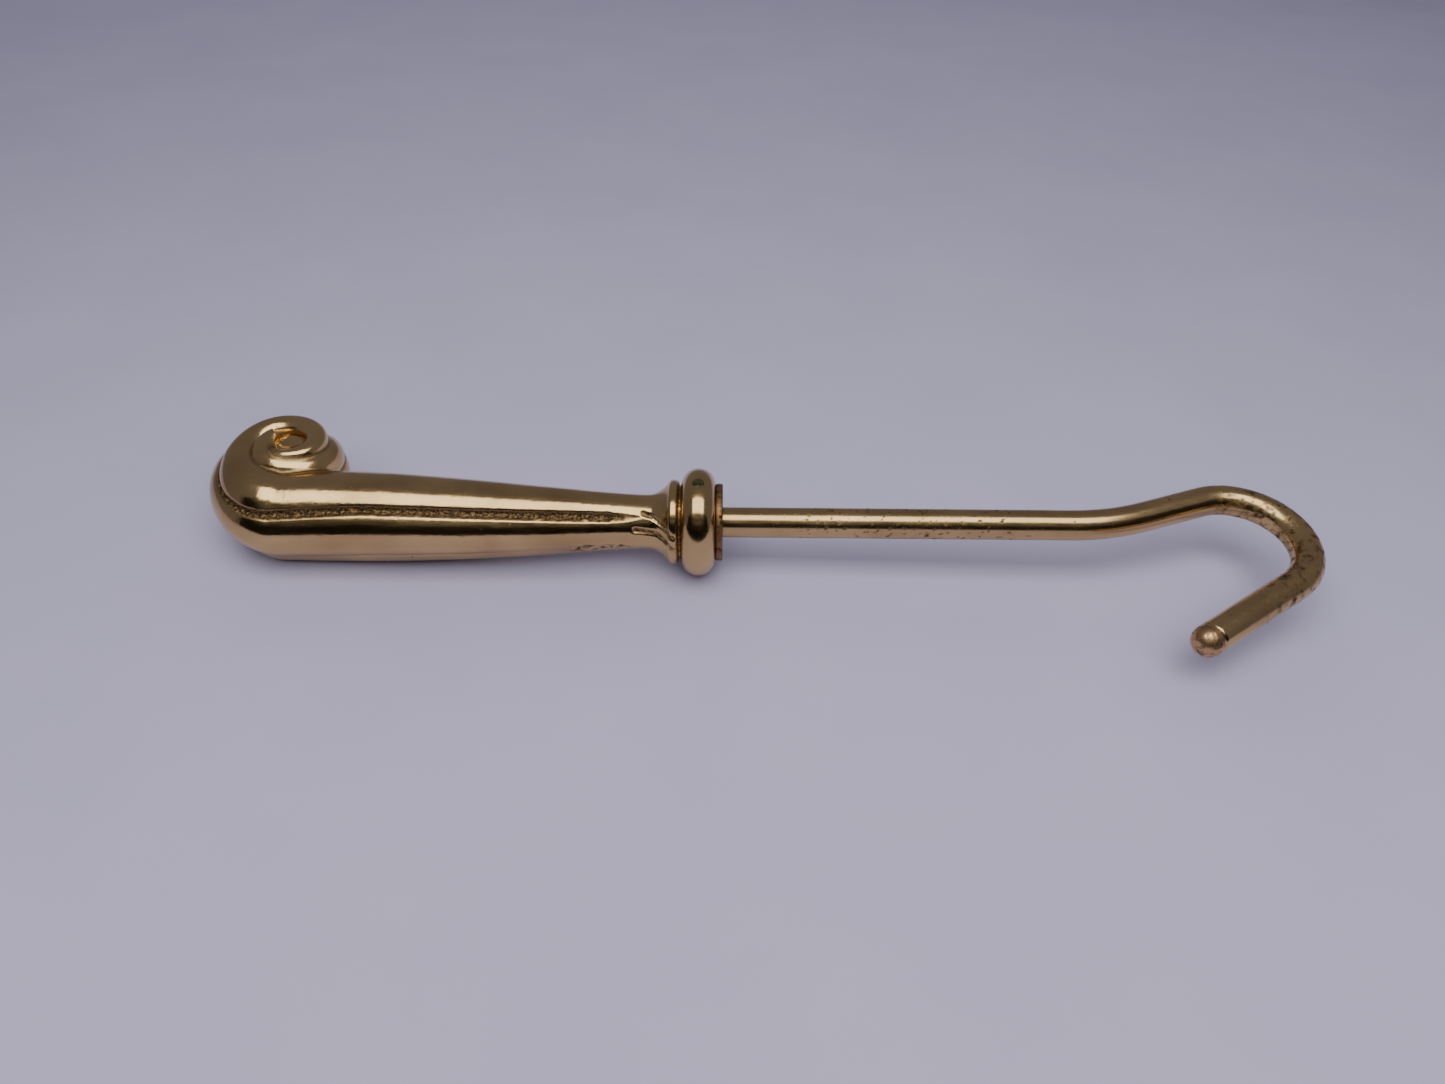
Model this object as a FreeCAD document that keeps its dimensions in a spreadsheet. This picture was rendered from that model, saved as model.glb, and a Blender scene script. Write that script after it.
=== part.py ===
"""Brass hook with a cast scroll handle, as five separate pieces.

Tool frame: +X runs along the tool from the scroll to the hook, X = 0 is the outer face of the backing washer.
The scroll is built in the XY plane of that frame and the hook in a plane turned about X from it.
The last step lays every piece in the tool's resting attitude, on the plane Z = 0.
"""
import FreeCAD
import Part
import math
import os
import Sketcher

Vector = FreeCAD.Vector
X_AXIS = Vector(1, 0, 0)
Y_AXIS = Vector(0, 1, 0)
Z_AXIS = Vector(0, 0, 1)

doc = FreeCAD.newDocument("scroll_hook")
sheet = doc.addObject("Spreadsheet::Sheet", "Sizes")

SIZES = {
    "rod_diameter": 9.525,
    "rod_insert": 62.0,
    "shank_length": 108.6,
    "offset_radius": 74.0,
    "offset_turn": 19.2,
    "offset_run": 20.7,
    "hook_radius": 19.9,
    "hook_turn": 165.6,
    "hook_run": 37.0,
    "hook_clocking": 0.0,
    "tip_spigot_diameter": 5.0,
    "tip_spigot_length": 8.0,
    "tip_collar_length": 1.6,
    "washer_diameter": 24.0,
    "washer_thickness": 2.2,
    "bead_diameter": 33.6,
    "bead_width": 10.7,
    "lip_diameter": 26.4,
    "lip_width": 3.0,
    "notch_depth": 1.8,
    "neck_diameter": 16.7,
    "neck_place": 24.0,
    "grip_diameter": 29.2,
    "grip_end": 128.0,
    "pin_diameter": 4.0,
    "pin_length": 33.3,
    "eye_place": 138.0,
    "eye_offset": 18.0,
    "core_radius": 8.0,
    "core_height": 20.0,
    "under_whorl_lift": 1.2,
    "flute_twist": 17.0,
    "grip_bend": 1.3,
    "rest_roll": 7.47,
    "rest_pitch": -1.26,
}


def fill_sheet():
    """One row for each driving dimension: its name, and its value under that name as alias."""
    for row, (alias, value) in enumerate(SIZES.items(), start=1):
        sheet.set("A%d" % row, alias)
        sheet.set("B%d" % row, str(value))
        sheet.setAlias("B%d" % row, alias)
    doc.recompute()


def size(alias):
    """The value of a driving dimension, read back from the sheet."""
    return float(sheet.get(alias))


def bind(item, **sizes):
    """Bind properties of an object to expressions over the sheet's aliases."""
    for name, expression in sizes.items():
        item.setExpression(name, expression)


def new_body(label):
    body = doc.addObject("PartDesign::Body", label)
    body.Label = label
    return body


def new_sketch(body, name, role):
    """A sketch on one of the body's own origin planes."""
    sketch = body.newObject("Sketcher::SketchObject", name)
    plane = [item for item in body.Origin.OriginFeatures if item.Role == role][0]
    sketch.AttachmentSupport = [(plane, "")]
    sketch.MapMode = "FlatFace"
    return sketch


def bind_constraint(sketch, constraint, name, expression):
    """Add a dimension to a sketch, name it and bind it to the sheet."""
    index = sketch.addConstraint(constraint)
    sketch.renameConstraint(index, name)
    sketch.setExpression("Constraints." + name, expression)


def route_corner(point, heading, radius, turn):
    """Arc that leaves point along heading and turns by the signed angle in degrees."""
    side = 1 if turn > 0 else -1
    centre = point + Vector(-math.sin(heading), math.cos(heading), 0) * radius * side
    start = heading - side * math.pi / 2
    arc = Part.Circle(centre, Z_AXIS, radius)
    last = start + math.radians(turn)
    first_angle, last_angle = min(start, last), max(start, last)
    piece = Part.ArcOfCircle(arc, first_angle, last_angle)
    end = centre + Vector(math.cos(last), math.sin(last), 0) * radius
    return piece, end, heading + math.radians(turn)


def hook_route(sketch):
    """Shank, gentle offset bend, short run, hook bend and nose, each tangent to the next."""
    line = Part.LineSegment
    start = Vector(-size("rod_insert"), 0, 0)
    bend = Vector(size("shank_length"), 0, 0)
    shank = sketch.addGeometry(line(start, bend))
    arc, point, heading = route_corner(bend, 0.0, size("offset_radius"), size("offset_turn"))
    offset_bend = sketch.addGeometry(arc)
    after = point + Vector(math.cos(heading), math.sin(heading), 0) * size("offset_run")
    run = sketch.addGeometry(line(point, after))
    arc, point, heading = route_corner(after, heading, size("hook_radius"), -size("hook_turn"))
    hook_bend = sketch.addGeometry(arc)
    nose_end = point + Vector(math.cos(heading), math.sin(heading), 0) * size("hook_run")
    nose = sketch.addGeometry(line(point, nose_end))
    constraint = Sketcher.Constraint
    sketch.addConstraint(constraint("PointOnObject", shank, 1, -1))
    sketch.addConstraint(constraint("Horizontal", shank))
    sketch.addConstraint(constraint("Tangent", shank, 2, offset_bend, 1))
    sketch.addConstraint(constraint("Tangent", offset_bend, 2, run, 1))
    sketch.addConstraint(constraint("Tangent", run, 2, hook_bend, 2))
    sketch.addConstraint(constraint("Tangent", hook_bend, 1, nose, 1))
    insert = constraint("DistanceX", shank, 1, -1, 1, size("rod_insert"))
    bind_constraint(sketch, insert, "insert", "Sizes.rod_insert")
    bind_constraint(sketch, constraint("DistanceX", -1, 1, shank, 2, size("shank_length")),
                    "shank", "Sizes.shank_length")
    offset = constraint("Radius", offset_bend, size("offset_radius"))
    bind_constraint(sketch, offset, "offset", "Sizes.offset_radius")
    bind_constraint(sketch, constraint("Distance", run, size("offset_run")), "run", "Sizes.offset_run")
    hook = constraint("Radius", hook_bend, size("hook_radius"))
    bind_constraint(sketch, hook, "hook", "Sizes.hook_radius")
    bind_constraint(sketch, constraint("Distance", nose, size("hook_run")), "nose", "Sizes.hook_run")


def make_hook_rod():
    """Round rod bent in one plane, drilled up its nose for the tip cap's spigot."""
    body = new_body("hook_rod")
    route = new_sketch(body, "hook_route", "XY_Plane")
    hook_route(route)
    profile = new_sketch(body, "rod_section", "YZ_Plane")
    bind(profile, **{"AttachmentOffset.Base.z": "-Sizes.rod_insert"})
    circle = profile.addGeometry(Part.Circle(Vector(0, 0, 0), Z_AXIS, size("rod_diameter") / 2))
    profile.addConstraint(Sketcher.Constraint("Coincident", circle, 3, -1, 1))
    bind_constraint(profile, Sketcher.Constraint("Diameter", circle, size("rod_diameter")),
                    "diameter", "Sizes.rod_diameter")
    doc.recompute()
    sweep = body.newObject("PartDesign::AdditivePipe", "rod_sweep")
    sweep.Profile = profile
    sweep.Spine = (route, ["Edge%d" % (i + 1) for i in range(5)])
    doc.recompute()
    return body



def nose_frame():
    """Centre of the rod's end face and the angle of its axis, in the hook's plane."""
    offset = math.radians(size("offset_turn"))
    heading = offset - math.radians(size("hook_turn"))
    radius, bend = size("offset_radius"), size("hook_radius")
    x = size("shank_length") + radius * math.sin(offset)
    y = radius * (1 - math.cos(offset))
    x += size("offset_run") * math.cos(offset) + bend * (math.sin(offset) - math.sin(heading))
    y += size("offset_run") * math.sin(offset) + bend * (math.cos(heading) - math.cos(offset))
    x += size("hook_run") * math.cos(heading)
    y += size("hook_run") * math.sin(heading)
    return Vector(x, y, 0), math.degrees(heading)


def along_nose():
    """Placement that carries +X onto the nose's axis, at the rod's end face."""
    point, angle = nose_frame()
    return FreeCAD.Placement(point, FreeCAD.Rotation(Z_AXIS, angle))


def cut_from(label, base, tools):
    """Boolean cut of one or more tool solids, under the finished piece's own label."""
    cut = doc.addObject("Part::Cut", label)
    cut.Base = base
    if len(tools) > 1:
        cutters = doc.addObject("Part::MultiFuse", label + "_cutters")
        cutters.Shapes = tools
        cut.Tool = cutters
    else:
        cut.Tool = tools[0]
    base.Label = label + "_blank"
    cut.Label = label
    return cut


def cylinder(name, radius, height, placement):
    """Part cylinder whose radius and height are expressions over the sheet."""
    item = doc.addObject("Part::Cylinder", name)
    bind(item, Radius=radius, Height=height)
    item.Placement = placement
    return item


def clocking():
    """Turn about the tool's axis from the scroll's plane to the hook's plane."""
    return FreeCAD.Placement(Vector(0, 0, 0), FreeCAD.Rotation(X_AXIS, size("hook_clocking")))


def bead_centre():
    return -size("washer_thickness") - size("bead_width") / 2


def pin_cylinder(name, radius):
    """Cylinder along the pin's axis, square across the bead."""
    foot = Vector(bead_centre(), 0, -size("pin_length") / 2)
    return cylinder(name, radius, "Sizes.pin_length", FreeCAD.Placement(foot, FreeCAD.Rotation()))


def make_drilled_rod():
    """The bent rod, drilled up its nose for the tip cap and across its root for the pin."""
    body = make_hook_rod()
    body.Placement = clocking()
    backwards = FreeCAD.Placement(Vector(0, 0, 0), FreeCAD.Rotation(Y_AXIS, -90))
    nose = clocking().multiply(along_nose()).multiply(backwards)
    nose_drill = cylinder("nose_drill", "Sizes.tip_spigot_diameter / 2", "Sizes.tip_spigot_length", nose)
    return cut_from("hook_rod", body, [nose_drill, pin_cylinder("rod_pin_hole", "Sizes.pin_diameter / 2")])


def make_pin():
    """Straight pin through the bead and the rod."""
    pin = pin_cylinder("retaining_pin", "Sizes.pin_diameter / 2")
    pin.Label = "retaining_pin"
    return pin


def revolved_body(label, outline):
    """A body turned about X from a closed outline of edges in the upper half of its XY plane."""
    body = new_body(label)
    sketch = new_sketch(body, label + "_outline", "XY_Plane")
    for edge in outline:
        sketch.addGeometry(edge)
    doc.recompute()
    turned = body.newObject("PartDesign::Revolution", label + "_turned")
    turned.Profile = sketch
    turned.ReferenceAxis = (sketch, ["H_Axis"])
    turned.Angle = 360
    doc.recompute()
    return body


def polyline(*points):
    """Straight edges through (x, y) points."""
    vectors = [Vector(x, y, 0) for x, y in points]
    return [Part.LineSegment(first, second) for first, second in zip(vectors, vectors[1:])]


def arc_through(first, middle, last):
    return Part.Arc(Vector(*first, 0), Vector(*middle, 0), Vector(*last, 0))


def make_tip_cap():
    """Domed end of the nose: a short collar, a hemisphere and the spigot pressed into the rod."""
    radius, collar = size("rod_diameter") / 2, size("tip_collar_length")
    spigot, depth = size("tip_spigot_diameter") / 2, size("tip_spigot_length")
    corner = radius * math.sqrt(0.5)
    outline = polyline((collar + radius, 0), (-depth, 0), (-depth, spigot), (0, spigot),
                       (0, radius), (collar, radius))
    outline.append(arc_through((collar, radius), (collar + corner, corner), (collar + radius, 0)))
    body = revolved_body("tip_cap", outline)
    body.Placement = clocking().multiply(along_nose())
    return body


def make_washer():
    """Flat washer between the casting's bead and the open shank."""
    outer, inner = size("washer_diameter") / 2, size("rod_diameter") / 2
    thickness = size("washer_thickness")
    outline = polyline((-thickness, inner), (-thickness, outer), (0, outer), (0, inner), (-thickness, inner))
    return revolved_body("backing_washer", outline)


def make_collar():
    """Trumpet flare, lip, notch and round bead at the mouth of the casting."""
    bead_end = -size("washer_thickness")
    bead_start = bead_end - size("bead_width")
    bead_radius = size("bead_diameter") / 2
    half_width = size("bead_width") / 2
    shoulder = bead_radius - half_width
    lip_start = bead_start - size("lip_width")
    lip_radius = size("lip_diameter") / 2
    neck = -size("neck_place")
    neck_radius = size("neck_diameter") / 2
    root = neck - 12
    notch = lip_radius - size("notch_depth")
    flare_x = neck + 0.62 * (lip_start - neck)
    flare_y = neck_radius + 0.22 * (lip_radius - neck_radius)
    outline = polyline((bead_end, 0), (root, 0), (root, neck_radius), (neck, neck_radius))
    outline.append(arc_through((neck, neck_radius), (flare_x, flare_y), (lip_start, lip_radius - 0.8)))
    lip_edge = (lip_start, lip_radius - 0.8)
    outline.append(arc_through(lip_edge, (lip_start + 1.1, lip_radius), (bead_start - 0.5, notch)))
    outline += polyline((bead_start - 0.5, notch), (bead_start, notch), (bead_start, shoulder))
    bead_crest = (bead_start + half_width, bead_radius)
    outline.append(arc_through((bead_start, shoulder), bead_crest, (bead_end, shoulder)))
    outline += polyline((bead_end, shoulder), (bead_end, 0))
    return revolved_body("collar", outline)


def grip_diameter(x):
    """Outer diameter of the grip at x: it swells from the neck to the start of the scroll."""
    along = (-x - size("neck_place")) / (size("grip_end") - size("neck_place"))
    swell = math.sin(math.pi / 2 * max(0.0, min(1.0, along))) ** 1.1
    return size("neck_diameter") + (size("grip_diameter") - size("neck_diameter")) * swell


def ease(value, start, end):
    """Smooth step from 0 at start to 1 at end."""
    along = max(0.0, min(1.0, (value - start) / (end - start)))
    return along * along * (3 - 2 * along)


def ring(centre, normal, radius):
    """Round section square to normal, with its seam at the top so that lofts don't twist."""
    wire = Part.Wire([Part.makeCircle(radius)])
    turn = FreeCAD.Rotation(Z_AXIS, normal.cross(Z_AXIS), normal, "ZXY")
    wire.Placement = FreeCAD.Placement(centre, turn)
    return wire


def crossing(first, second, side):
    """Where two circles (x, y, radius) cross: side is 1 left or -1 right of the line from first to second."""
    dx, dy = second[0] - first[0], second[1] - first[1]
    gap = math.hypot(dx, dy)
    along = (first[2] ** 2 - second[2] ** 2 + gap ** 2) / (2 * gap)
    off = side * math.sqrt(first[2] ** 2 - along ** 2)
    return first[0] + (along * dx - off * dy) / gap, first[1] + (along * dy + off * dx) / gap


def arc_between(circle, start, end, towards):
    """Arc of a circle from start to end, over the side that faces a direction."""
    length = math.hypot(*towards)
    middle = (circle[0] + circle[2] * towards[0] / length, circle[1] + circle[2] * towards[1] / length)
    return Part.Arc(Vector(*start, 0), Vector(*middle, 0), Vector(*end, 0)).toShape()


def fluted_section(upper, band, lower, placement):
    """Outline of three reeds, each a circle (across, up, radius): flutes between them, flat on the inside."""
    top = crossing(upper, band, -1)
    bottom = crossing(band, lower, -1)
    inner_top = (upper[0] + upper[2], upper[1])
    inner_bottom = (lower[0] + lower[2], lower[1])
    outward = (2 * band[0] - upper[0] - lower[0], 2 * band[1] - upper[1] - lower[1])
    edges = [arc_between(upper, inner_top, top, (top[0] - upper[0] + upper[2], top[1] - upper[1])),
             arc_between(band, top, bottom, outward),
             arc_between(lower, bottom, inner_bottom, (bottom[0] - lower[0] + lower[2], bottom[1] - lower[1])),
             Part.makeLine(Vector(*inner_bottom, 0), Vector(*inner_top, 0))]
    wire = Part.Wire(edges)
    wire.Placement = placement
    return wire


def grip_section(x):
    """Section of the grip at x: the three reeds share its diameter and are turned by the flutes' twist."""
    half = grip_diameter(x) / 2
    if x > -size("neck_place"):
        half = half * 0.96
    twist = math.radians(size("flute_twist") * (1 - 0.5 * ease(-x, 108, 138)))
    bend = size("grip_bend") * ease(-x, 55, 130)
    circles = []
    for aside, rise, share in ((0.0, SIDE_RISE, SIDE_REED), (MIDDLE_REED - 1, 0.0, MIDDLE_REED),
                               (0.0, -SIDE_RISE, SIDE_REED)):
        across = half * (aside * math.cos(twist) + rise * math.sin(twist)) + bend
        up = half * (rise * math.cos(twist) - aside * math.sin(twist))
        circles.append((across, up, half * share))
    turn = FreeCAD.Rotation(Y_AXIS, Z_AXIS, X_AXIS, "ZXY")
    return fluted_section(*circles, FreeCAD.Placement(Vector(x, 0, 0), turn))


def scroll_section(angle):
    """Section of the scroll in the plane through the eye's axis, angle degrees round from the near side."""
    turn = math.radians(angle)
    side = between(SIDE_STATIONS, angle)
    band = between(BAND_STATIONS, angle)
    outward = Vector(-math.sin(turn), -math.cos(turn), 0)
    heading = FreeCAD.Rotation(outward * -1, Z_AXIS, outward.cross(Z_AXIS) * -1, "ZXY")
    place = FreeCAD.Placement(Vector(-size("eye_place"), size("eye_offset"), 0), heading)
    under = 2 * band[1] - side[1]
    return fluted_section((-side[0], side[1], side[2]), (-band[0], band[1], band[2]),
                          (-side[0], under, side[2]), place)


def between(stations, angle):
    """Distance, height and radius at an angle, on a smooth curve through the stations."""
    for index in range(len(stations) - 1):
        if angle <= stations[index + 1][0]:
            break
    first, last = stations[index], stations[index + 1]
    before = stations[max(index - 1, 0)]
    after = stations[min(index + 2, len(stations) - 1)]
    span = last[0] - first[0]
    along = (angle - first[0]) / span
    found = []
    for k in (1, 2, 3):
        slope_in = (last[k] - before[k]) / (last[0] - before[0]) * span
        slope_out = (after[k] - first[k]) / (after[0] - first[0]) * span
        rest = 1 - along
        found.append(first[k] * rest * rest * (1 + 2 * along) + slope_in * along * rest * rest
                     + last[k] * along * along * (3 - 2 * along) - slope_out * along * along * rest)
    return found


def spiral_ring(angle, distance, height, radius):
    """Section in the plane through the eye's axis, angle degrees round from the near side by way of the left."""
    turn = math.radians(angle)
    eye = Vector(-size("eye_place"), size("eye_offset"), height)
    centre = eye + Vector(-math.sin(turn), -math.cos(turn), 0) * distance
    return ring(centre, Vector(-math.cos(turn), math.sin(turn), 0), radius)


def spiral_rings(stations, step):
    first, last = stations[0][0], stations[-1][0]
    count = round((last - first) / step)
    angles = [first + (last - first) * k / count for k in range(count + 1)]
    return [spiral_ring(angle, *between(stations, angle)) for angle in angles]


def loft(name, rings):
    strand = doc.addObject("Part::Feature", name)
    strand.Shape = Part.makeLoft(rings, True, False)
    return strand


# Each reed's share of the grip's half diameter, and how far the side reeds stand above and below its axis.
SIDE_REED = 0.82
SIDE_RISE = 0.175
MIDDLE_REED = 0.675

# Stations round the scroll: angle from the near side, distance from the eye's axis, height, radius.
SIDE_STATIONS = [(0, 16.3, 2.5, 12.0), (45, 15.3, 7.6, 8.3), (90, 14.0, 9.6, 6.0), (135, 12.6, 11.0, 4.9),
                 (180, 11.0, 11.9, 4.3), (270, 8.8, 13.6, 3.2), (330, 6.8, 15.0, 2.3), (390, 5.0, 16.0, 1.0)]
BAND_STATIONS = [(0, 21.4, 0.7, 9.9), (45, 18.2, 2.0, 9.1), (90, 16.4, 2.4, 8.5), (135, 14.0, 3.0, 8.0),
                 (180, 11.4, 4.0, 7.5), (225, 10.2, 5.8, 6.9), (270, 9.6, 7.5, 6.3)]
WHORL_STATIONS = [(225, 9.8, 5.6, 5.2), (270, 9.4, 8.0, 6.0), (315, 8.8, 9.6, 5.9),
                  (360, 7.8, 11.2, 5.4), (450, 6.0, 13.8, 4.2), (520, 4.6, 15.6, 3.1),
                  (555, 4.0, 16.2, 1.4)]


# Where the grip's sections stand along the tool axis, from the collar to the scroll.
GRIP_PLACES = (-18, -24, -36, -50, -64, -78, -92, -106, -120)


def make_fluted_body():
    """Grip and first turn of the scroll: one loft of the three-reed section along a straight and a spiral."""
    sections = [grip_section(x) for x in GRIP_PLACES]
    sections += [scroll_section(angle) for angle in range(0, 271, 22)]
    return loft("fluted_body", sections)


def make_whorl():
    """The band's continuation, which climbs to the eye and ends there, rounded."""
    return loft("whorl", spiral_rings(WHORL_STATIONS, 25))


def make_core():
    """Solid heart of the scroll, which the whorls wind round."""
    core = doc.addObject("Part::Cylinder", "core")
    bind(core, Radius="Sizes.core_radius", Height="Sizes.core_height")
    core.Placement.Base = Vector(-size("eye_place"), size("eye_offset"), -size("core_height") / 2)
    return core


def make_casting():
    """Scroll, grip and collar in one casting, bored for the rod and drilled across for the pin."""
    whorl = make_whorl()
    lower_whorl = doc.addObject("Part::Mirroring", "lower_whorl")
    lower_whorl.Source = whorl
    lower_whorl.Normal = Z_AXIS
    lower_whorl.Base = Vector(0, 0, size("under_whorl_lift"))
    blank = doc.addObject("Part::MultiFuse", "casting_blank")
    blank.Shapes = [make_collar(), make_fluted_body(), make_core(), whorl, lower_whorl]
    start = FreeCAD.Placement(Vector(-size("rod_insert"), 0, 0), FreeCAD.Rotation(Y_AXIS, 90))
    bore = cylinder("rod_bore", "Sizes.rod_diameter / 2", "Sizes.rod_insert", start)
    hole = pin_cylinder("casting_pin_hole", "Sizes.pin_diameter / 2")
    return cut_from("handle_casting", blank, [bore, hole])


def check_document():
    """Stop before anything is written if an object failed to build."""
    for item in doc.Objects:
        if "Invalid" in item.State or "Error" in item.State:
            raise RuntimeError("%s failed: %s" % (item.Name, item.State))


def lay_down(pieces):
    """Turn the whole tool to its resting attitude, centred over the origin, lowest point on Z = 0."""
    roll = FreeCAD.Rotation(X_AXIS, size("rest_roll"))
    pitch = FreeCAD.Rotation(Y_AXIS, size("rest_pitch"))
    attitude = FreeCAD.Placement(Vector(0, 0, 0), pitch.multiply(roll))
    for piece in pieces:
        piece.Placement = attitude.multiply(piece.Placement)
    doc.recompute()
    whole = Part.Compound([piece.Shape for piece in pieces]).optimalBoundingBox()
    shift = Vector(-whole.Center.x, -whole.Center.y, -whole.ZMin)
    for piece in pieces:
        piece.Placement = FreeCAD.Placement(shift, FreeCAD.Rotation()).multiply(piece.Placement)
    doc.recompute()
    return shift


def write_parts(pieces):
    os.makedirs("parts", exist_ok=True)
    for piece in pieces:
        shape = piece.Shape
        if shape.isNull() or not shape.isValid() or shape.Volume <= 0:
            raise RuntimeError("%s has no valid solid" % piece.Label)
        shape.exportStep("parts/%s.step" % piece.Label)
        print(piece.Label, len(shape.Solids), "solid,", round(shape.Volume, 1), "mm3")


fill_sheet()
pieces = [make_drilled_rod(), make_tip_cap(), make_washer(), make_pin(), make_casting()]
doc.recompute()
check_document()
shift = lay_down(pieces)
check_document()
write_parts(pieces)
print("axis origin at", shift)
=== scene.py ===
"""Brass hook with a cast scroll handle: the finished looks, floor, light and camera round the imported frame.

The tool frame is the maker's: +X along the rod from the scroll to the hook, X = 0 on the washer's outer face,
the scroll coiled about Z. Shapes are worked out there in millimetres and laid down with the tool's attitude.
"""
import math

import bpy
import numpy as np
from mathutils import Matrix, Vector, noise


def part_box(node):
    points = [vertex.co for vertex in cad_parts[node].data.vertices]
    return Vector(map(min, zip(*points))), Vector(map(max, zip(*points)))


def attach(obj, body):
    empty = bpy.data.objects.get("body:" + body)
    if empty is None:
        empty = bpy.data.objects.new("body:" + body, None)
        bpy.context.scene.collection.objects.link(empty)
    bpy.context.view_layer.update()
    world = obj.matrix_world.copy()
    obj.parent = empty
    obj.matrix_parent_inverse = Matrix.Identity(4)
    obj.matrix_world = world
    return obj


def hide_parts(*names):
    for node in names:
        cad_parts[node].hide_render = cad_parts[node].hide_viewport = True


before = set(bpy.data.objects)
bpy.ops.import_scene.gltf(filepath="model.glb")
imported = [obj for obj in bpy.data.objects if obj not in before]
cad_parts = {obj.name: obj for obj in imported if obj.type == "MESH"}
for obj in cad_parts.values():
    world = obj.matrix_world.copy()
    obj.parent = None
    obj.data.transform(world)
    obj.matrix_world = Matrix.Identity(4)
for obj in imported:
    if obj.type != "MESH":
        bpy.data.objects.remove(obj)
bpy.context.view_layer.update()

MM = 0.001
REST_ROLL = math.radians(7.47)
REST_PITCH = math.radians(-1.26)
WASHER_THICKNESS = 2.2
WASHER_RADIUS = 12.0
ROD_RADIUS = 9.525 / 2

# The grip: neck and widest diameters and where they stand, its slight bend, its reeds' start inside the
# collar, their twist, which eases off towards the scroll, and the shares of its half diameter that they take.
NECK_DIAMETER = 16.7
GRIP_DIAMETER = 29.2
NECK_PLACE = 24.0
GRIP_END = 128.0
SWELL_POWER = 1.1
GRIP_BEND = 1.3
BEND_START = 55.0
BEND_END = 130.0
REED_START = -18.0
REED_ROWS = 200
FLUTE_TWIST = math.radians(17)
TWIST_EASE_START = 110.0
TWIST_EASE_LENGTH = 28.0
SIDE_REED = 0.82
SIDE_RISE = 0.175
MIDDLE_REED = 0.675

# The scroll, about an upright line through its eye: angle, distance, height, radius. The lower reed rises out
# of the upper one's mirror as it goes round, and the whorl below is the mirror of the one above, lifted.
EYE_X = -138.0
EYE_Y = 18.0
UNDER_LIFT = 1.2
LOWER_RISE = 0.9
LOWER_CLIMB = 3.9
LOWER_CLIMB_END = 120
SIDE_STATIONS = [(0, 16.6, 3.4, 11.8), (30, 15.2, 6.4, 9.4), (60, 14.2, 8.4, 7.4), (90, 13.6, 9.8, 6.0),
                 (135, 12.6, 11.2, 4.9), (180, 10.8, 12.2, 4.3), (225, 9.8, 13.2, 3.7), (270, 8.9, 14.0, 3.2),
                 (315, 7.5, 15.0, 2.6), (360, 6.0, 15.8, 1.8), (400, 4.8, 16.2, 0.8)]
BAND_STATIONS = [(0, 21.7, 1.2, 9.8), (22, 20.0, 1.6, 9.5), (45, 18.2, 2.0, 9.1), (90, 16.8, 2.4, 8.5),
                 (135, 14.0, 3.0, 8.0), (180, 11.4, 2.4, 7.5), (240, 9.8, 0.5, 6.8), (300, 9.0, 0.0, 6.0)]
WHORL_STATIONS = [(150, 11.2, 1.0, 6.0), (180, 10.8, 2.5, 6.5), (225, 10.0, 5.0, 6.5), (270, 9.4, 7.5, 6.3),
                  (315, 8.6, 9.6, 5.9), (360, 7.6, 11.2, 5.4), (405, 6.5, 12.6, 4.8), (450, 5.4, 13.8, 4.2),
                  (495, 4.4, 14.8, 3.4)]
CORE_RADIUS = 9.0
CORE_HALF = 12.0
CORE_SIDES = 48

# The eye's button, a little off the eye's line, and the bed it rises from: both are upright round posts.
BUTTON_X = EYE_X + 0.6
BUTTON_Y = EYE_Y + 0.9
BUTTON_RADIUS = 4.4
BUTTON_HEIGHTS = np.linspace(5, 13.6, 16)
EYE_BED_RADIUS = 6.2
EYE_BED_HEIGHTS = np.linspace(3, 10.4, 15)

# The collar: bead, notch, lip and the flare that runs down to the neck.
BEAD_X = -7.55
BEAD_ROUND = 5.35
BEAD_INNER = 11.45
LIP_X = -15.2
LIP_ROUND = 1.3
LIP_FLAT = 0.3
LIP_INNER = 11.9
NOTCH_X = -13.4
NOTCH_RADIUS = 11.4
FLARE_START = -24.0
FLARE_END = -16.5
FLARE_RADIUS = 12.65
FLARE_POWER = 2.2
NECK_FOOT = -34.0

# How the casting's skin is made: spacing of rows along reeds and whorls, points measured at a time, how far
# the parts run together, and the steps that draw the rough skin onto the exact one, each held to a reach.
REED_STEP = 0.7
WHORL_STEP = 0.5
BATCH = 20000
BLEND = 0.28
SETTLE_STEPS = 4
SETTLE_REACH = 0.5

# How deep each mark is cut into the casting, and the height of its soft waves.
FLUTE_DEPTH = 0.75
LOWER_FLUTE_DEPTH = 0.3
FORK_DEPTH = 0.55
UNDER_SIDE_DEPTH = 0.3
BROAD_WAVE = 0.05
FINE_WAVE = 0.012

attitude = Matrix.Rotation(REST_PITCH, 3, "Y") @ Matrix.Rotation(REST_ROLL, 3, "X")
washer_low, washer_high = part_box("backing_washer")
origin = (washer_low + washer_high) / 2 - attitude @ Vector((-WASHER_THICKNESS / 2 * MM, 0, 0))
ATTITUDE = np.array(attitude)
ORIGIN = np.array(origin)


def to_world(points):
    """Tool-frame millimetres to the row frame in metres."""
    return points * MM @ ATTITUDE.T + ORIGIN


def smooth(low, high, value):
    """An eased step from 0 at low to 1 at high."""
    t = np.clip((value - low) / (high - low), 0, 1)
    return t * t * (3 - 2 * t)


def through(stations, angles):
    """Distance, height and radius at each angle, on a smooth curve through the stations."""
    table = np.array(stations, float)
    place = table[:, 0]
    slopes = np.gradient(table[:, 1:], place, axis=0)
    index = np.clip(np.searchsorted(place, angles, side="right") - 1, 0, len(place) - 2)
    span = (place[index + 1] - place[index])[:, None]
    t = ((angles - place[index]) / span[:, 0])[:, None]
    rest = 1 - t
    return (table[index, 1:] * rest * rest * (1 + 2 * t) + slopes[index] * span * t * rest * rest
            + table[index + 1, 1:] * t * t * (3 - 2 * t) - slopes[index + 1] * span * t * t * rest)


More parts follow.
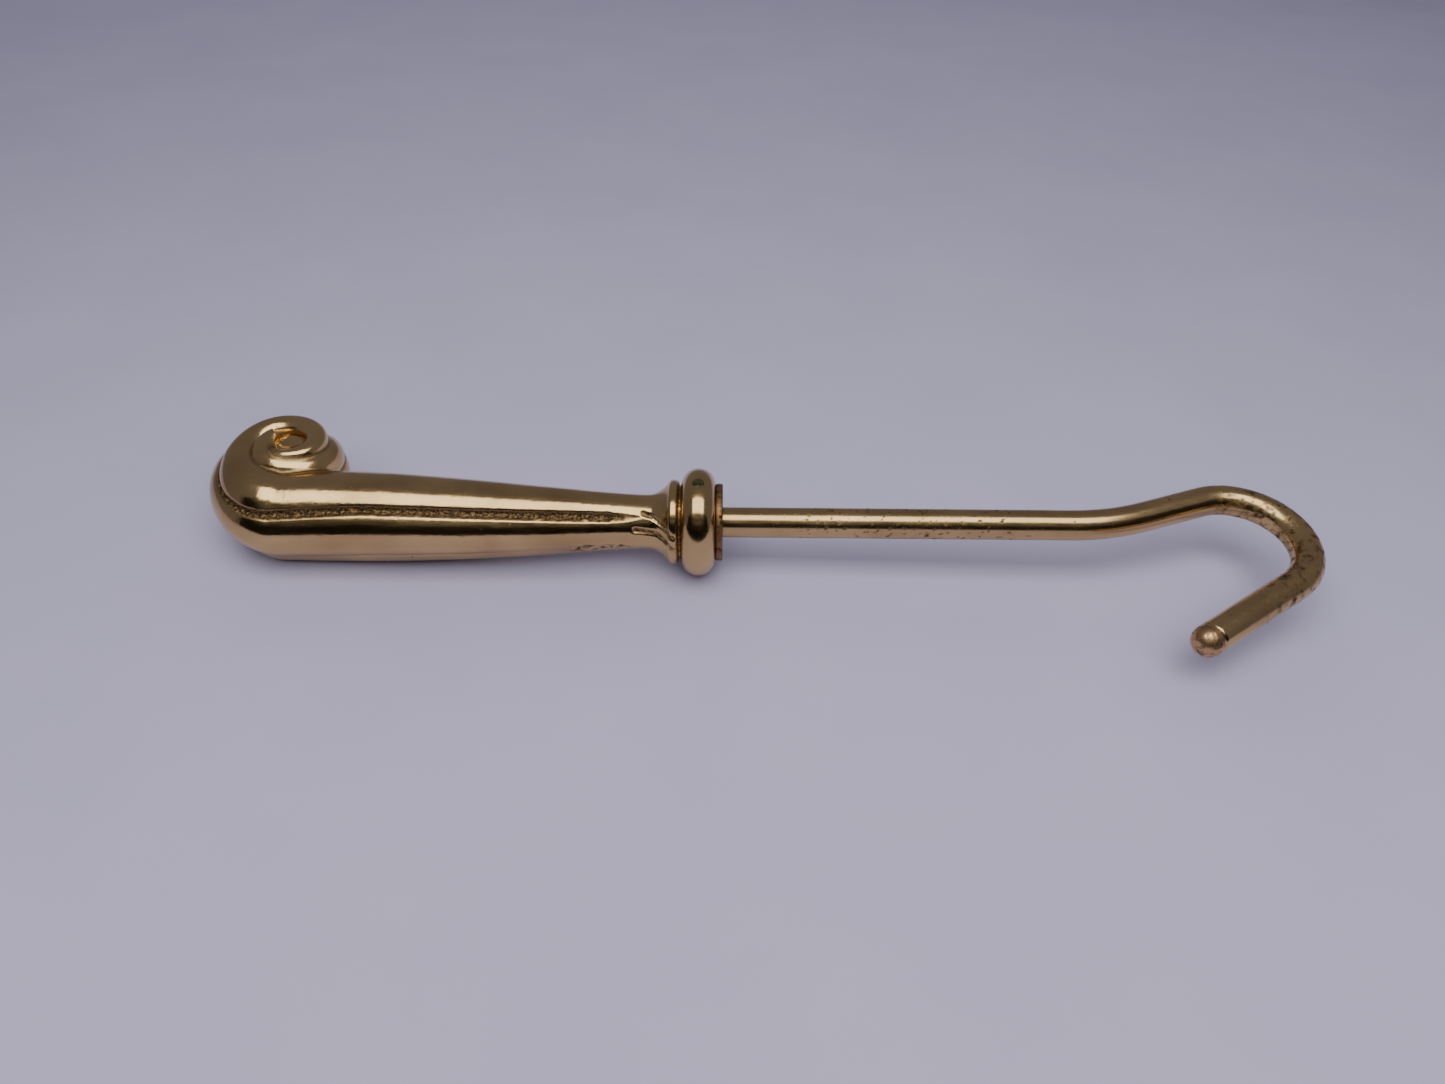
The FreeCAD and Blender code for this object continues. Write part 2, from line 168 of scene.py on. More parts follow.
def grip_path(reed, share, count):
    """Centres and radii of one reed along the grip: reed is 1 for the upper, 0 the middle, -1 the lower."""
    x = np.linspace(REED_START, EYE_X - 0.5, count)
    along = np.clip((-x - NECK_PLACE) / (GRIP_END - NECK_PLACE), 0, 1)
    half = (NECK_DIAMETER + (GRIP_DIAMETER - NECK_DIAMETER) * np.sin(math.pi / 2 * along) ** SWELL_POWER) / 2
    twist = FLUTE_TWIST * (1 - 0.5 * np.clip((-x - TWIST_EASE_START) / TWIST_EASE_LENGTH, 0, 1))
    radius = share * half
    across = radius - half if reed == 0 else 0 * half
    up = reed * SIDE_RISE * half
    bend = GRIP_BEND * smooth(BEND_START, BEND_END, -x)
    y = across * np.cos(twist) + up * np.sin(twist) + bend
    z = up * np.cos(twist) - across * np.sin(twist)
    return np.stack([x, y, z, radius], 1)


def scroll_path(stations, step=3.0):
    """Rows of centre and radius round the scroll, a row every step degrees."""
    angles = np.arange(stations[0][0], stations[-1][0] + 0.01, step)
    distance, height, radius = through(stations, angles).T
    turn = np.radians(angles)
    return np.stack([EYE_X - np.sin(turn) * distance, EYE_Y - np.cos(turn) * distance, height, radius], 1)


def even(path, step):
    """The same path with rows about step apart, eased once so that no join shows."""
    for _ in range(3):
        path = np.vstack([path[:1], (path[:-2] + 2 * path[1:-1] + path[2:]) / 4, path[-1:]])
    gaps = np.linalg.norm(np.diff(path[:, :3], axis=0), axis=1)
    length = np.concatenate([[0], np.cumsum(gaps)])
    places = np.linspace(0, length[-1], max(int(length[-1] / step), 2))
    return np.stack([np.interp(places, length, path[:, k]) for k in range(4)], 1)


def mirrored(path, lift=0.0):
    """The same path below the scroll's middle plane, with that plane raised by lift."""
    path = path.copy()
    path[:, 2] = 2 * lift - path[:, 2]
    return path


upper_side = scroll_path(SIDE_STATIONS)
lower_side = mirrored(upper_side)
round_scroll = np.linspace(SIDE_STATIONS[0][0], SIDE_STATIONS[-1][0], len(lower_side))
lower_side[:, 2] += LOWER_RISE + LOWER_CLIMB * smooth(0, LOWER_CLIMB_END, round_scroll)
UPPER = even(np.vstack([grip_path(1, SIDE_REED, REED_ROWS), upper_side[1:]]), REED_STEP)
LOWER = even(np.vstack([grip_path(-1, SIDE_REED, REED_ROWS), lower_side[1:]]), REED_STEP)
BAND = even(np.vstack([grip_path(0, MIDDLE_REED, REED_ROWS), scroll_path(BAND_STATIONS)[1:]]), REED_STEP)
WHORL = even(scroll_path(WHORL_STATIONS), WHORL_STEP)
UNDER_WHORL = mirrored(WHORL, UNDER_LIFT)
BUTTON = np.array([(BUTTON_X, BUTTON_Y, z, BUTTON_RADIUS) for z in BUTTON_HEIGHTS])
EYE_BED = np.array([(EYE_X, EYE_Y, z, EYE_BED_RADIUS) for z in EYE_BED_HEIGHTS])
# The marks on the casting go by the first four: upper reed, band, lower reed and whorl.
STRANDS = [UPPER, BAND, LOWER, WHORL, UNDER_WHORL, BUTTON, mirrored(BUTTON, UNDER_LIFT), EYE_BED,
           mirrored(EYE_BED, UNDER_LIFT)]


def strand_distance(points, path):
    """Signed distance from each point to a strand's skin, and the way out of it."""
    rise = np.gradient(path, axis=0)
    distance = np.empty(len(points))
    outward = np.empty((len(points), 3))
    for start in range(0, len(points), BATCH):
        part = points[start:start + BATCH]
        square = (part ** 2).sum(1)[:, None] + (path[:, :3] ** 2).sum(1)[None] - 2 * part @ path[:, :3].T
        nearest = np.argmin(np.sqrt(np.maximum(square, 0)) - path[:, 3][None], axis=1)
        away = part - path[nearest, :3]
        step = rise[nearest]
        length = np.linalg.norm(away, axis=1)
        slide = ((away * step[:, :3]).sum(1) + step[:, 3] * length) / (step[:, :3] ** 2).sum(1)
        slide = np.clip(slide, -0.75, 0.75)[:, None]
        away = away - slide * step[:, :3]
        length = np.maximum(np.linalg.norm(away, axis=1), 1e-6)
        distance[start:start + BATCH] = length - path[nearest, 3] - slide[:, 0] * step[:, 3]
        outward[start:start + BATCH] = away / length[:, None]
    return distance, outward


def collar_distance(points):
    """Signed distance to the turned collar: bead, hub, lip, and flare with neck, joined."""
    x = points[:, 0]
    radius = np.hypot(points[:, 1], points[:, 2])
    bead = np.hypot(x - BEAD_X, np.maximum(radius - BEAD_INNER, 0)) - BEAD_ROUND
    hub = np.maximum(np.maximum(radius - NOTCH_RADIUS, LIP_X - x), x - (BEAD_X + BEAD_ROUND))
    lip = np.hypot(np.maximum(np.abs(x - LIP_X) - LIP_FLAT, 0), np.maximum(radius - LIP_INNER, 0)) - LIP_ROUND
    along = np.clip((x - FLARE_START) / (FLARE_END - FLARE_START), 0, 1)
    flare = NECK_DIAMETER / 2 + (FLARE_RADIUS - NECK_DIAMETER / 2) * along ** FLARE_POWER
    slope_share = 0.75
    neck = np.maximum((radius - flare) * slope_share, np.maximum(x - LIP_X, NECK_FOOT - x))
    return np.minimum(np.minimum(bead, hub), np.minimum(lip, neck))


def turned_distance(points):
    """The collar's distance with its way out, by small differences."""
    step = 0.02
    distance = collar_distance(points)
    outward = np.empty((len(points), 3))
    for k in range(3):
        shifted = points.copy()
        shifted[:, k] += step
        outward[:, k] = (collar_distance(shifted) - distance) / step
    outward /= np.maximum(np.linalg.norm(outward, axis=1), 1e-6)[:, None]
    return distance, outward


def core_distance(points):
    """Signed distance to the drum that fills the scroll's middle, and the way out of it."""
    away = points - np.array([EYE_X, EYE_Y, 0])
    radius = np.hypot(away[:, 0], away[:, 1])
    outward = np.stack([away[:, 0], away[:, 1], 0 * radius], 1) / np.maximum(radius, 1e-6)[:, None]
    top = np.abs(away[:, 2]) - CORE_HALF
    side = radius - CORE_RADIUS
    flat = top > side
    outward[flat] = np.stack([0 * radius, 0 * radius, np.sign(away[:, 2])], 1)[flat]
    return np.where(flat, top, side), outward


def casting_distance(points, blend):
    """Signed distance to the whole casting, its parts run together over a small fillet, with the way out and
    the distance to each part by itself."""
    found = [strand_distance(points, strand) for strand in STRANDS]
    found += [turned_distance(points), core_distance(points)]
    each = np.stack([distance for distance, _ in found])
    low = each.min(0)
    weight = np.exp(-(each - low) / blend)
    total = weight.sum(0)
    outward = sum(w[:, None] * way for w, (_, way) in zip(weight, found)) / total[:, None]
    return low - blend * np.log(total), outward, each


def new_piece(name, points, faces, material):
    """An object in the scene. With a material it is one of the tool's pieces, and rides on its only body."""
    mesh = bpy.data.meshes.new(name)
    mesh.from_pydata(points.tolist(), [], faces)
    mesh.update()
    mesh.validate()
    piece = bpy.data.objects.new(name, mesh)
    bpy.context.scene.collection.objects.link(piece)
    mesh.shade_smooth()
    if material:
        mesh.materials.append(material)
        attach(piece, "root")
    return piece


def tube(path, sides):
    """Points and faces of a round skin, closed at both ends, along a path of centre and radius rows."""
    ahead = np.gradient(path[:, :3], axis=0)
    ahead /= np.linalg.norm(ahead, axis=1)[:, None]
    level = np.abs(ahead[:, 2]).max() < 0.95
    across = np.cross(ahead, (0.0, 0.0, 1.0) if level else (1.0, 0.0, 0.0))
    across /= np.linalg.norm(across, axis=1)[:, None]
    up = np.cross(across, ahead)
    turn = np.linspace(0, 2 * math.pi, sides, endpoint=False)
    ring = np.cos(turn)[None, :, None] * across[:, None] + np.sin(turn)[None, :, None] * up[:, None]
    points = (path[:, None, :3] + ring * path[:, None, 3:]).reshape(-1, 3)
    faces = []
    for row in range(len(path) - 1):
        for k in range(sides):
            a, b = row * sides + k, row * sides + (k + 1) % sides
            faces.append((a, b, b + sides, a + sides))
    last = (len(path) - 1) * sides
    faces.append(tuple(range(sides - 1, -1, -1)))
    faces.append(tuple(range(last, last + sides)))
    return points, faces


def revolved(profile, sides):
    """Closed skin turned about the tool axis from (x, radius) rows, the last row joined to the first."""
    turn = np.linspace(0, 2 * math.pi, sides, endpoint=False)
    rows = np.array(profile, float)
    points = np.stack([np.repeat(rows[:, 0], sides),
                       (rows[:, 1:] * np.cos(turn)).ravel(), (rows[:, 1:] * np.sin(turn)).ravel()], 1)
    faces = []
    count = len(rows)
    for row in range(count):
        for k in range(sides):
            a, b = row * sides + k, row * sides + (k + 1) % sides
            c, d = (row + 1) % count * sides + (k + 1) % sides, (row + 1) % count * sides + k
            faces.append((a, d, c, b))
    return points, faces


def wander(points, scale, octaves=2, seed=0.0):
    """Soft seeded noise from -1 to 1 at each point."""
    return np.array([noise.fractal((p * scale + seed).tolist(), 1.0, 2.0, octaves) for p in points])


def node_material(name):
    """A new material, its node tree and its principled shader."""
    material = bpy.data.materials.new(name)
    material.use_nodes = True
    return material, material.node_tree, material.node_tree.nodes["Principled BSDF"]


def noise_node(tree, scale, detail=4.0, roughness=0.55, stretch=(1, 1, 1)):
    """Noise over the tool, scale in cells per metre, run along the tool's own axes."""
    place = tree.nodes.new("ShaderNodeTexCoord")
    mapping = tree.nodes.new("ShaderNodeMapping")
    mapping.inputs["Scale"].default_value = stretch
    pattern = tree.nodes.new("ShaderNodeTexNoise")
    pattern.inputs["Scale"].default_value = scale
    pattern.inputs["Detail"].default_value = detail
    pattern.inputs["Roughness"].default_value = roughness
    tree.links.new(place.outputs["Object"], mapping.inputs["Vector"])
    tree.links.new(mapping.outputs["Vector"], pattern.inputs["Vector"])
    return pattern.outputs["Fac"]


def ramp(tree, value, stops):
    """The value run through a colour ramp of (place, colour) stops, a plain number standing for grey."""
    node = tree.nodes.new("ShaderNodeValToRGB")
    elements = node.color_ramp.elements
    while len(elements) < len(stops):
        elements.new(0.5)
    for element, (place, colour) in zip(elements, stops):
        element.position = place
        element.color = (colour,) * 3 + (1,) if isinstance(colour, (int, float)) else (*colour, 1)
    tree.links.new(value, node.inputs["Fac"])
    return node.outputs["Color"]


def mixed(tree, factor, first, second, kind="MIX"):
    """Two colours mixed by a factor. Each of the three is a node's output or a plain value."""
    node = tree.nodes.new("ShaderNodeMix")
    node.data_type = "RGBA"
    node.blend_type = kind
    for name, value in (("Factor", factor), ("A", first), ("B", second)):
        socket = node.inputs[name]
        if hasattr(value, "links"):
            tree.links.new(value, socket)
        else:
            socket.default_value = value if isinstance(value, (int, float)) else (*value, 1)
    return node.outputs["Result"]


def attribute(tree, name):
    """A layer that mark wrote on the piece, as a node's output."""
    node = tree.nodes.new("ShaderNodeAttribute")
    node.attribute_name = name
    return node.outputs["Fac"]


# Sizes of the brass's patterns, in cells per metre, its stain's colour, and the roughness of stained metal.
PATCH_CELLS = 45
FLECK_CELLS = 420
WEAR_CELLS = 900
DENT_CELLS = 260
GRAIN_CELLS = 1500
BROWN_STAIN = (0.045, 0.022, 0.010)
SPOT_ROUGHNESS = (0.6, 0.6, 0.6)
GRIME_ROUGHNESS = (0.55, 0.55, 0.55)


def brass(name, clean, dull, roughness, spots=(0.66, 0.74), stain=BROWN_STAIN, grime=None, scratch=0.06):
    """Brass of a clean colour with duller patches, spots past a noise level, and grime where marked."""
    material, tree, shader = node_material(name)
    shader.inputs["Metallic"].default_value = 1.0
    patches = ramp(tree, noise_node(tree, PATCH_CELLS, 3), [(0.35, clean), (0.75, dull)])
    fleck = ramp(tree, noise_node(tree, FLECK_CELLS, 5, 0.7), [(spots[0], 0.0), (spots[1], 1.0)])
    colour = mixed(tree, fleck, patches, stain)
    streaks = noise_node(tree, WEAR_CELLS, 3, 0.6, (0.15, 1, 1))
    wear = ramp(tree, streaks, [(0.3, roughness), (0.75, roughness + 0.09)])
    rough = mixed(tree, fleck, wear, SPOT_ROUGHNESS)
    bump = tree.nodes.new("ShaderNodeBump")
    bump.inputs["Strength"].default_value = scratch
    bump.inputs["Distance"].default_value = 0.0004
    height = noise_node(tree, DENT_CELLS, 4, 0.5)
    if grime:
        level = attribute(tree, grime)
        grain = ramp(tree, noise_node(tree, GRAIN_CELLS, 4, 0.7), [(0.35, 0.55), (0.6, 1.0)])
        soiled = mixed(tree, 1.0, level, grain, "MULTIPLY")
        colour = mixed(tree, soiled, colour, stain)
        rough = mixed(tree, level, rough, GRIME_ROUGHNESS)
    tree.links.new(height, bump.inputs["Height"])
    tree.links.new(colour, shader.inputs["Base Color"])
    tree.links.new(rough, shader.inputs["Roughness"])
    tree.links.new(bump.outputs["Normal"], shader.inputs["Normal"])
    return material


cast_brass = brass("cast_brass_polished", (0.66, 0.455, 0.205), (0.46, 0.305, 0.135), 0.12, grime="grime")
rod_brass = brass("rod_brass_polished", (0.62, 0.43, 0.20), (0.45, 0.30, 0.135), 0.17,
                  spots=(0.64, 0.70), grime="grime")
tip_brass = brass("tip_brass_polished", (0.56, 0.36, 0.18), (0.40, 0.25, 0.12), 0.24,
                  spots=(0.60, 0.68), grime="grime")
washer_brass = brass("washer_brass_raw", (0.30, 0.18, 0.08), (0.16, 0.09, 0.045), 0.42,
                     spots=(0.5, 0.62), scratch=0.5)
pin_brass = brass("pin_brass_dark", (0.16, 0.14, 0.06), (0.09, 0.10, 0.05), 0.45,
                  spots=(0.5, 0.6), stain=(0.03, 0.035, 0.02))


def mark(piece, name, values):
    """A number from 0 to 1 on each point of the piece, for its material to read."""
    layer = piece.data.attributes.new(name, "FLOAT", "POINT")
    layer.data.foreach_set("value", np.ascontiguousarray(values, np.float32))


# The casting's skin: rough tubes joined by a voxel remesh, then drawn onto the exact blended surface.
VOXEL = 0.42
STRAND_SIDES = 40
COLLAR_SIDES = 64
bodies = [tube(strand, STRAND_SIDES) for strand in STRANDS]
bodies.append(revolved([(NECK_FOOT, 0.4), (NECK_FOOT, 8.2), (FLARE_START, 8.3), (-20, 9.4),
                        (FLARE_END, FLARE_RADIUS), (LIP_X + 1, 13.1), (-13.6, NOTCH_RADIUS),
                        (BEAD_X - 5.3, 11.6), (BEAD_X, 16.8), (BEAD_X + 5.3, 11.6),
                        (BEAD_X + 5.3, 0.4)], COLLAR_SIDES))
turn = np.linspace(0, 2 * math.pi, CORE_SIDES, endpoint=False)
core_points = np.array([(EYE_X + CORE_RADIUS * math.cos(a), EYE_Y + CORE_RADIUS * math.sin(a), z)
                        for z in (-CORE_HALF, CORE_HALF) for a in turn])
core_faces = [(k, (k + 1) % CORE_SIDES, CORE_SIDES + (k + 1) % CORE_SIDES, CORE_SIDES + k)
              for k in range(CORE_SIDES)]
core_faces += [tuple(range(CORE_SIDES - 1, -1, -1)), tuple(range(CORE_SIDES, 2 * CORE_SIDES))]
bodies.append((core_points, core_faces))
points, faces = [], []
for some_points, some_faces in bodies:
    base = sum(len(p) for p in points)
    points.append(some_points)
    faces += [tuple(i + base for i in face) for face in some_faces]
rough_skin = new_piece("rough_skin", np.vstack(points), faces, None)
remesh = rough_skin.modifiers.new("remesh", "REMESH")
remesh.mode = "VOXEL"
remesh.voxel_size = VOXEL
evaluated = rough_skin.evaluated_get(bpy.context.evaluated_depsgraph_get())
skin = bpy.data.meshes.new_from_object(evaluated)
bpy.data.objects.remove(rough_skin)
co = np.empty(len(skin.vertices) * 3, np.float32)
skin.vertices.foreach_get("co", co)
co = co.reshape(-1, 3).astype(float)
for _ in range(SETTLE_STEPS):
    gap, outward, _ = casting_distance(co, BLEND)
    co -= np.clip(gap, -SETTLE_REACH, SETTLE_REACH)[:, None] * outward
_, outward, each = casting_distance(co, BLEND)
outward /= np.maximum(np.linalg.norm(outward, axis=1), 1e-6)[:, None]

# Where the flutes, the joins in the scroll and the grip are, from 0 to 1, and the grime that gathers there.
near_upper, near_band, near_lower, near_whorl = each[:4]
upper_flute = 1 - smooth(0.2, 0.85, np.maximum(near_upper, near_band))
lower_flute = 1 - smooth(0.08, 0.4, np.maximum(near_lower, near_band))
second_nearest = np.sort(np.stack([near_upper, near_band, near_whorl]), axis=0)[1]
scroll_join = 1 - smooth(0.2, 1.1, second_nearest)
on_grip = smooth(-22, -27, co[:, 0])
fine = wander(co, 1.1, 3)
broad = wander(co, 0.13, 2, 7.0)
fade = smooth(-58, -80, co[:, 0])
grime = np.clip(upper_flute * on_grip * (1.9 + 0.9 * fine) + lower_flute * fade * 0.7
                + scroll_join * smooth(-112, -120, co[:, 0]) * 0.8, 0, 1)
radius = np.hypot(co[:, 1], co[:, 2])
around = np.degrees(np.arctan2(co[:, 2], -co[:, 1]))


def crease(route, width):
    """How deep each point lies in a crease over the flare. Its route is rows of x and degrees around."""
    x, degrees = np.array(route, float).T
    path = np.interp(co[:, 0], x, degrees)
    beside = np.abs(np.radians(around - path)) * radius
    beyond = np.maximum(np.maximum(x[0] - co[:, 0], co[:, 0] - x[-1]), 0)
    return 1 - smooth(0.15 * width, width, np.hypot(beside * 0.75, beyond))


# Towards the camera, the flute runs out over the flare in a fork of two creases, with a rough patch below.
fork = np.maximum(crease([(-27, 27), (-20, 20), (-14.5, 2)], 1.0),
                  crease([(-24.5, 62), (-22, 56), (-18, 35), (-15, 22)], 0.9))
notch = 1 - smooth(0.2, 1.2, np.abs(co[:, 0] - NOTCH_X))
under_side = np.clip(wander(co, 0.5, 4, 17.0) * 2.2, 0, 1)
under_side = under_side * smooth(-50, -44, co[:, 0]) * (1 - smooth(-32, -26, co[:, 0]))
under_side *= (1 - smooth(6, 22, np.abs(around + 22)))
grime = np.clip(grime + fork * (0.7 + fine) + 0.75 * notch * (0.7 + fine) + under_side, 0, 1)
co += outward * (-FLUTE_DEPTH * upper_flute * on_grip * (1 + 0.7 * fine)
                 - LOWER_FLUTE_DEPTH * lower_flute * fade + BROAD_WAVE * broad * on_grip
                 + FINE_WAVE * fine * on_grip - FORK_DEPTH * fork * (0.9 + 0.5 * fine)
                 - UNDER_SIDE_DEPTH * under_side)[:, None]

skin.vertices.foreach_set("co", to_world(co).astype(np.float32).ravel())
skin.update()
skin.shade_smooth()
skin.materials.clear()
skin.materials.append(cast_brass)
handle = bpy.data.objects.new("handle_skin", skin)
bpy.context.scene.collection.objects.link(handle)
mark(handle, "grime", grime)
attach(handle, "root")
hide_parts("handle_casting")

# The rod's path: seat, shank, an easy bend up, a short run, the hook's bend and its nose.
SEAT = 3.0
SHANK = 108.6
OFFSET_RADIUS = 74.0
OFFSET_TURN = 19.2
OFFSET_RUN = 20.7
HOOK_RADIUS = 19.9
HOOK_TURN = 165.6
NOSE = 37.0
ROUTE_STEP = 0.6
ROD_SIDES = 72
TIP_COLLAR = 1.6
JOINT_BREAK = 0.25


def rod_route():
    """Rows of x, y along the rod's centre line, from inside the collar to the end of the nose, and its last
    heading."""
    place = np.array([-SEAT, 0.0])
    heading = 0.0
    rows = [place]
    for kind, amount, radius in (("run", SEAT + SHANK, 0), ("bend", OFFSET_TURN, OFFSET_RADIUS),
                                 ("run", OFFSET_RUN, 0), ("bend", -HOOK_TURN, HOOK_RADIUS), ("run", NOSE, 0)):
        length = amount if kind == "run" else math.radians(abs(amount)) * radius
        count = max(int(length / ROUTE_STEP), 2)
        for _ in range(count):
            half_turn = 0 if kind == "run" else math.radians(amount) / count / 2
            heading += half_turn
            place = place + np.array([math.cos(heading), math.sin(heading)]) * length / count
            heading += half_turn
            rows.append(place)
    return np.array(rows), heading


def skin_along(centre, radius):
    """A round skin along rows of x, y in the hook's plane, with a radius for each row."""
    path = np.column_stack([centre, np.zeros(len(centre)), radius])
    return tube(path, ROD_SIDES)


route, nose_heading = rod_route()
nose_way = np.array([math.cos(nose_heading), math.sin(nose_heading)])
rod_radius = np.full(len(route), ROD_RADIUS)
rod_radius[-1] -= JOINT_BREAK
rod_points, rod_faces = skin_along(route, rod_radius)
swell = wander(rod_points, 0.09, 2, 3.0)
bend_wear = smooth(150, 166, rod_points[:, 0])
rough_patch = np.clip(wander(rod_points, 0.55, 4, 11.0) * 1.6, 0, 1)
shank_wear = smooth(15, 30, rod_points[:, 0]) * (1 - smooth(88, 100, rod_points[:, 0]))
shank_spots = smooth(0.42, 0.6, wander(rod_points, 0.7, 4, 5.0))
rod_grime = np.clip(bend_wear * rough_patch * 1.1 + shank_wear * shank_spots, 0, 1)
along_rod = np.repeat(np.arange(len(route)), ROD_SIDES)
radial = rod_points - np.column_stack([route[along_rod], np.zeros(len(rod_points))])
radial /= np.linalg.norm(radial, axis=1)[:, None]
rod_points = rod_points + radial * (0.03 * swell - 0.015 * rod_grime)[:, None]
rod = new_piece("rod_skin", to_world(rod_points), rod_faces, rod_brass)
mark(rod, "grime", rod_grime)
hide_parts("hook_rod")

# The tip as rows of distance past the rod's end and radius: a broken edge, a short collar and a dome.
dome = [(t, ROD_RADIUS) for t in np.linspace(0.12, TIP_COLLAR, 6)]
dome[0] = (0.0, ROD_RADIUS - JOINT_BREAK)
dome += [(TIP_COLLAR + ROD_RADIUS * math.sin(a), max(ROD_RADIUS * math.cos(a), 0.02))
         for a in np.linspace(0.06, math.pi / 2, 30)]
tip_centre = np.array([route[-1] + nose_way * t for t, _ in dome])
tip_points, tip_faces = skin_along(tip_centre, np.array([r for _, r in dome]))
tip = new_piece("tip_skin", to_world(tip_points), tip_faces, tip_brass)
mark(tip, "grime", np.clip(smooth(0.0, 0.4, wander(tip_points, 0.7, 4, 21.0)) * 0.8, 0, 1))
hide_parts("tip_cap")

# The washer, with broken edges and a slightly ragged rim.
edge = 0.35
washer_bore = ROD_RADIUS + 0.05
washer_sides = 160
washer_profile = [(-WASHER_THICKNESS, washer_bore), (-WASHER_THICKNESS, WASHER_RADIUS - edge)]
washer_profile += [(-WASHER_THICKNESS + edge, WASHER_RADIUS), (-WASHER_THICKNESS / 2, WASHER_RADIUS)]
washer_profile += [(-edge, WASHER_RADIUS), (0, WASHER_RADIUS - edge), (0, 8.5), (0, washer_bore)]
washer_points, washer_faces = revolved(washer_profile, washer_sides)
ragged = wander(washer_points, 0.8, 3, 31.0)
washer_rim = smooth(11.2, 11.9, np.hypot(washer_points[:, 1], washer_points[:, 2]))
rim_share = 0.012 * ragged * washer_rim
washer_points = washer_points * (1 + np.stack([0 * ragged, rim_share, rim_share], 1))
washer = new_piece("washer_skin", to_world(washer_points), washer_faces, washer_brass)
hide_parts("backing_washer")

# The pin through the bead, its domed ends just proud of the bead's crest and following its curve.
pin_radius = 1.9
pin_sides = 40
bead_top = BEAD_INNER + BEAD_ROUND
pin_rows = [(bead_top - 0.4, pin_radius), (bead_top - 0.02, pin_radius), (bead_top + 0.04, pin_radius * 0.85),
            (bead_top + 0.07, pin_radius * 0.45), (bead_top + 0.08, 0.02)]
pin_rows = [(-h, r) for h, r in reversed(pin_rows)] + pin_rows
pin_points, pin_faces = [], []
for h, r in pin_rows:
    for a in np.linspace(0, 2 * math.pi, pin_sides, endpoint=False):
        drop = (r * math.cos(a)) ** 2 / (2 * BEAD_ROUND) + (r * math.sin(a)) ** 2 / (2 * bead_top)
        pin_points.append((BEAD_X + r * math.cos(a), r * math.sin(a), h - math.copysign(drop, h)))
for row in range(len(pin_rows) - 1):
    for k in range(pin_sides):
        a, b = row * pin_sides + k, row * pin_sides + (k + 1) % pin_sides
        pin_faces.append((a, b, b + pin_sides, a + pin_sides))
pin = new_piece("pin_skin", to_world(np.array(pin_points)), pin_faces, pin_brass)
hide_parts("retaining_pin")


def stage_plane(name, size_x, size_y, place, turn=(0, 0, 0)):
    """A flat sheet of the stage, with its middle at place, in metres."""
    mesh = bpy.data.meshes.new(name)
    x, y = size_x / 2, size_y / 2
    mesh.from_pydata([(-x, -y, 0), (x, -y, 0), (x, y, 0), (-x, y, 0)], [], [(0, 1, 2, 3)])
    plane = bpy.data.objects.new(name, mesh)
    plane.location = place
    plane.rotation_euler = turn
    bpy.context.scene.collection.objects.link(plane)
    return plane


# The floor: pale violet paper.
floor = stage_plane("floor", 7, 7, (0, 0, 0))
floor_material, tree, shader = node_material("floor_paper")
paper = ramp(tree, noise_node(tree, 14, 4), [(0.3, (0.50, 0.475, 0.64)), (0.7, (0.53, 0.505, 0.67))])
tree.links.new(paper, shader.inputs["Base Color"])
shader.inputs["Roughness"].default_value = 0.75
shader.inputs["Specular IOR Level"].default_value = 0.2
floor.data.materials.append(floor_material)

# A black card in front of the tool, seen only in its reflections: it gives the brass its dark bands.
flag = stage_plane("dark_flag", 1.6, 0.40, (0, -0.25, 0.20), (math.radians(90), 0, 0))
flag_material, tree, shader = node_material("flag_cloth")
shader.inputs["Base Color"].default_value = (0.006, 0.006, 0.007, 1)
shader.inputs["Roughness"].default_value = 1.0
flag.data.materials.append(flag_material)
flag.visible_camera = False
flag.visible_diffuse = False
flag.visible_shadow = False


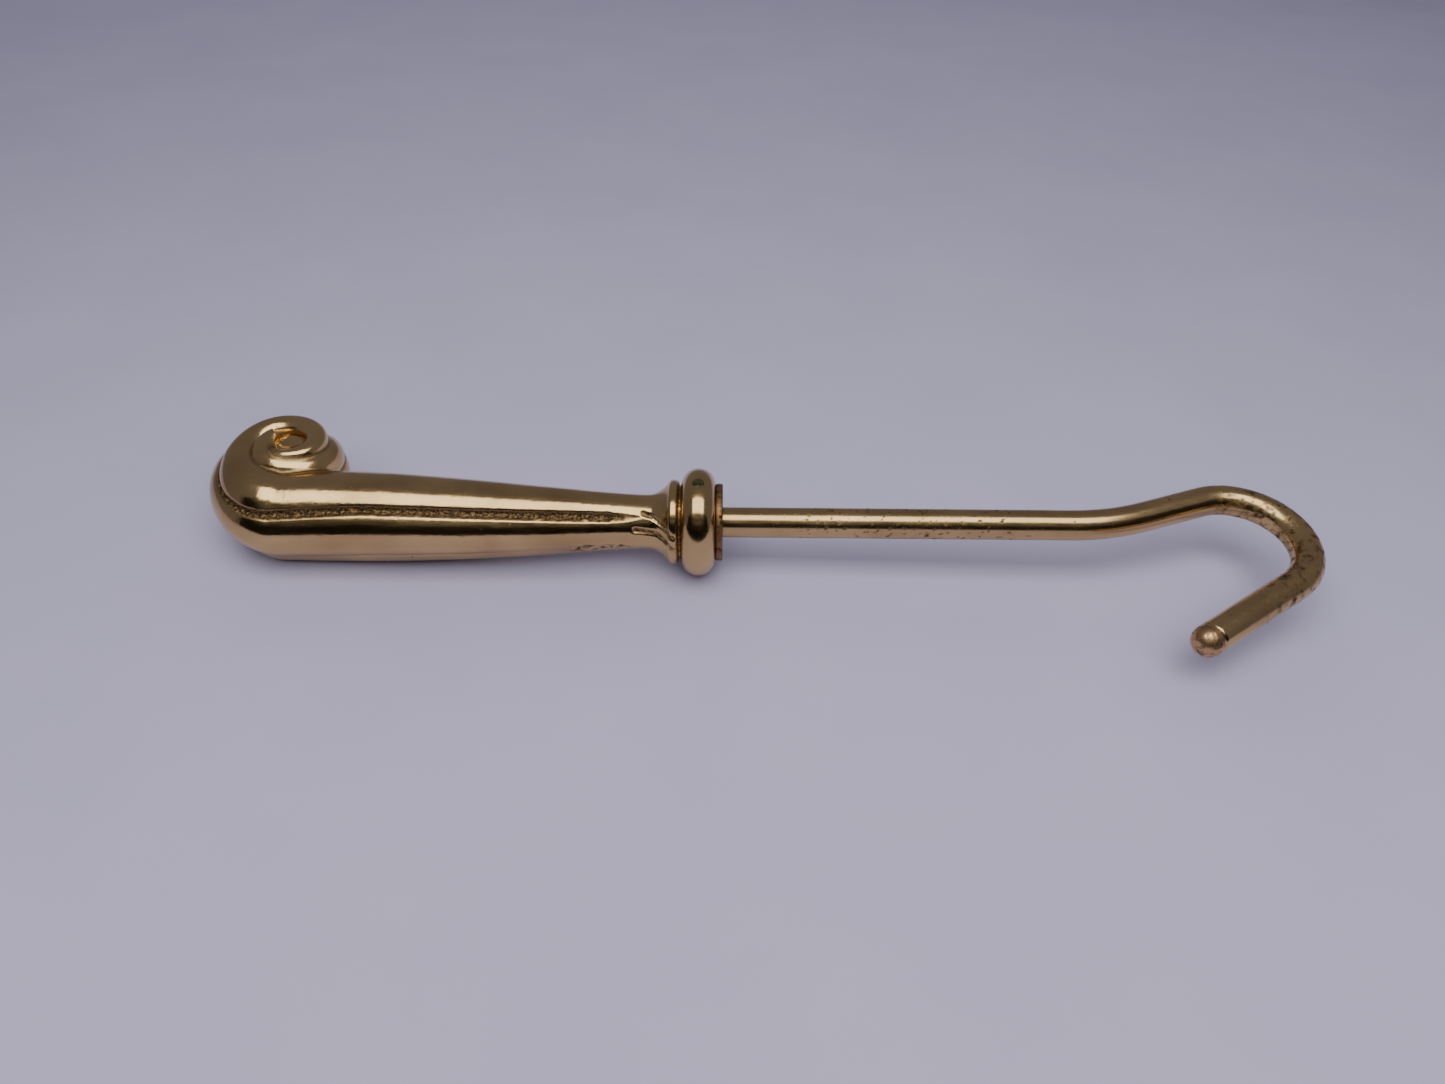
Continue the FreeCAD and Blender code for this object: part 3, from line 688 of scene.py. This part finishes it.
def area_light(name, power, size_x, size_y, place, target, colour):
    """A rectangular lamp at place that faces target."""
    data = bpy.data.lights.new(name, "AREA")
    data.shape = "RECTANGLE"
    data.size, data.size_y = size_x, size_y
    data.energy = power
    data.color = colour
    light = bpy.data.objects.new(name, data)
    light.location = place
    light.rotation_euler = (Vector(target) - Vector(place)).to_track_quat("-Z", "Y").to_euler()
    bpy.context.scene.collection.objects.link(light)
    return light


# One soft lamp above, a fill from behind that leaves no highlight of its own, and a dim violet surround.
area_light("overhead", 5.2, 0.9, 0.62, (0, -0.26, 0.62), (0, 0.0, 0), (1.0, 0.985, 0.99))
back_fill = area_light("back_fill", 1.6, 1.6, 0.5, (0, 0.9, 0.55), (0, 0, 0.05), (0.98, 0.95, 1.0))
back_fill.visible_glossy = False
world = bpy.data.worlds.new("studio")
world.use_nodes = True
world.node_tree.nodes["Background"].inputs["Color"].default_value = (0.62, 0.60, 0.72, 1)
world.node_tree.nodes["Background"].inputs["Strength"].default_value = 0.29
bpy.context.scene.world = world

# The camera, set in the tool's own frame: tilt down onto the hook's plane, distance and drop in millimetres.
VIEW_TILT = math.radians(46)
VIEW_DISTANCE = 335.0
VIEW_DROP = 6.2
VIEW_ROLL = math.radians(0.51)
LENS = 26.66
SENSOR_WIDTH = 36
forward = np.array([0, math.cos(VIEW_TILT), -math.sin(VIEW_TILT)])
upward = np.array([0, math.sin(VIEW_TILT), math.cos(VIEW_TILT)])
sideways = np.array([1.0, 0, 0])
right = math.cos(VIEW_ROLL) * sideways + math.sin(VIEW_ROLL) * upward
above = math.cos(VIEW_ROLL) * upward - math.sin(VIEW_ROLL) * sideways
eye_point = to_world(-VIEW_DISTANCE * forward - VIEW_DROP * upward)
camera_data = bpy.data.cameras.new("camera")
camera_data.lens = LENS
camera_data.sensor_width = SENSOR_WIDTH
camera = bpy.data.objects.new("camera", camera_data)
axes = Matrix([ATTITUDE @ right, ATTITUDE @ above, -(ATTITUDE @ forward)]).transposed()
camera.matrix_world = Matrix.Translation(Vector(eye_point)) @ axes.to_4x4()
bpy.context.scene.collection.objects.link(camera)
bpy.context.scene.camera = camera
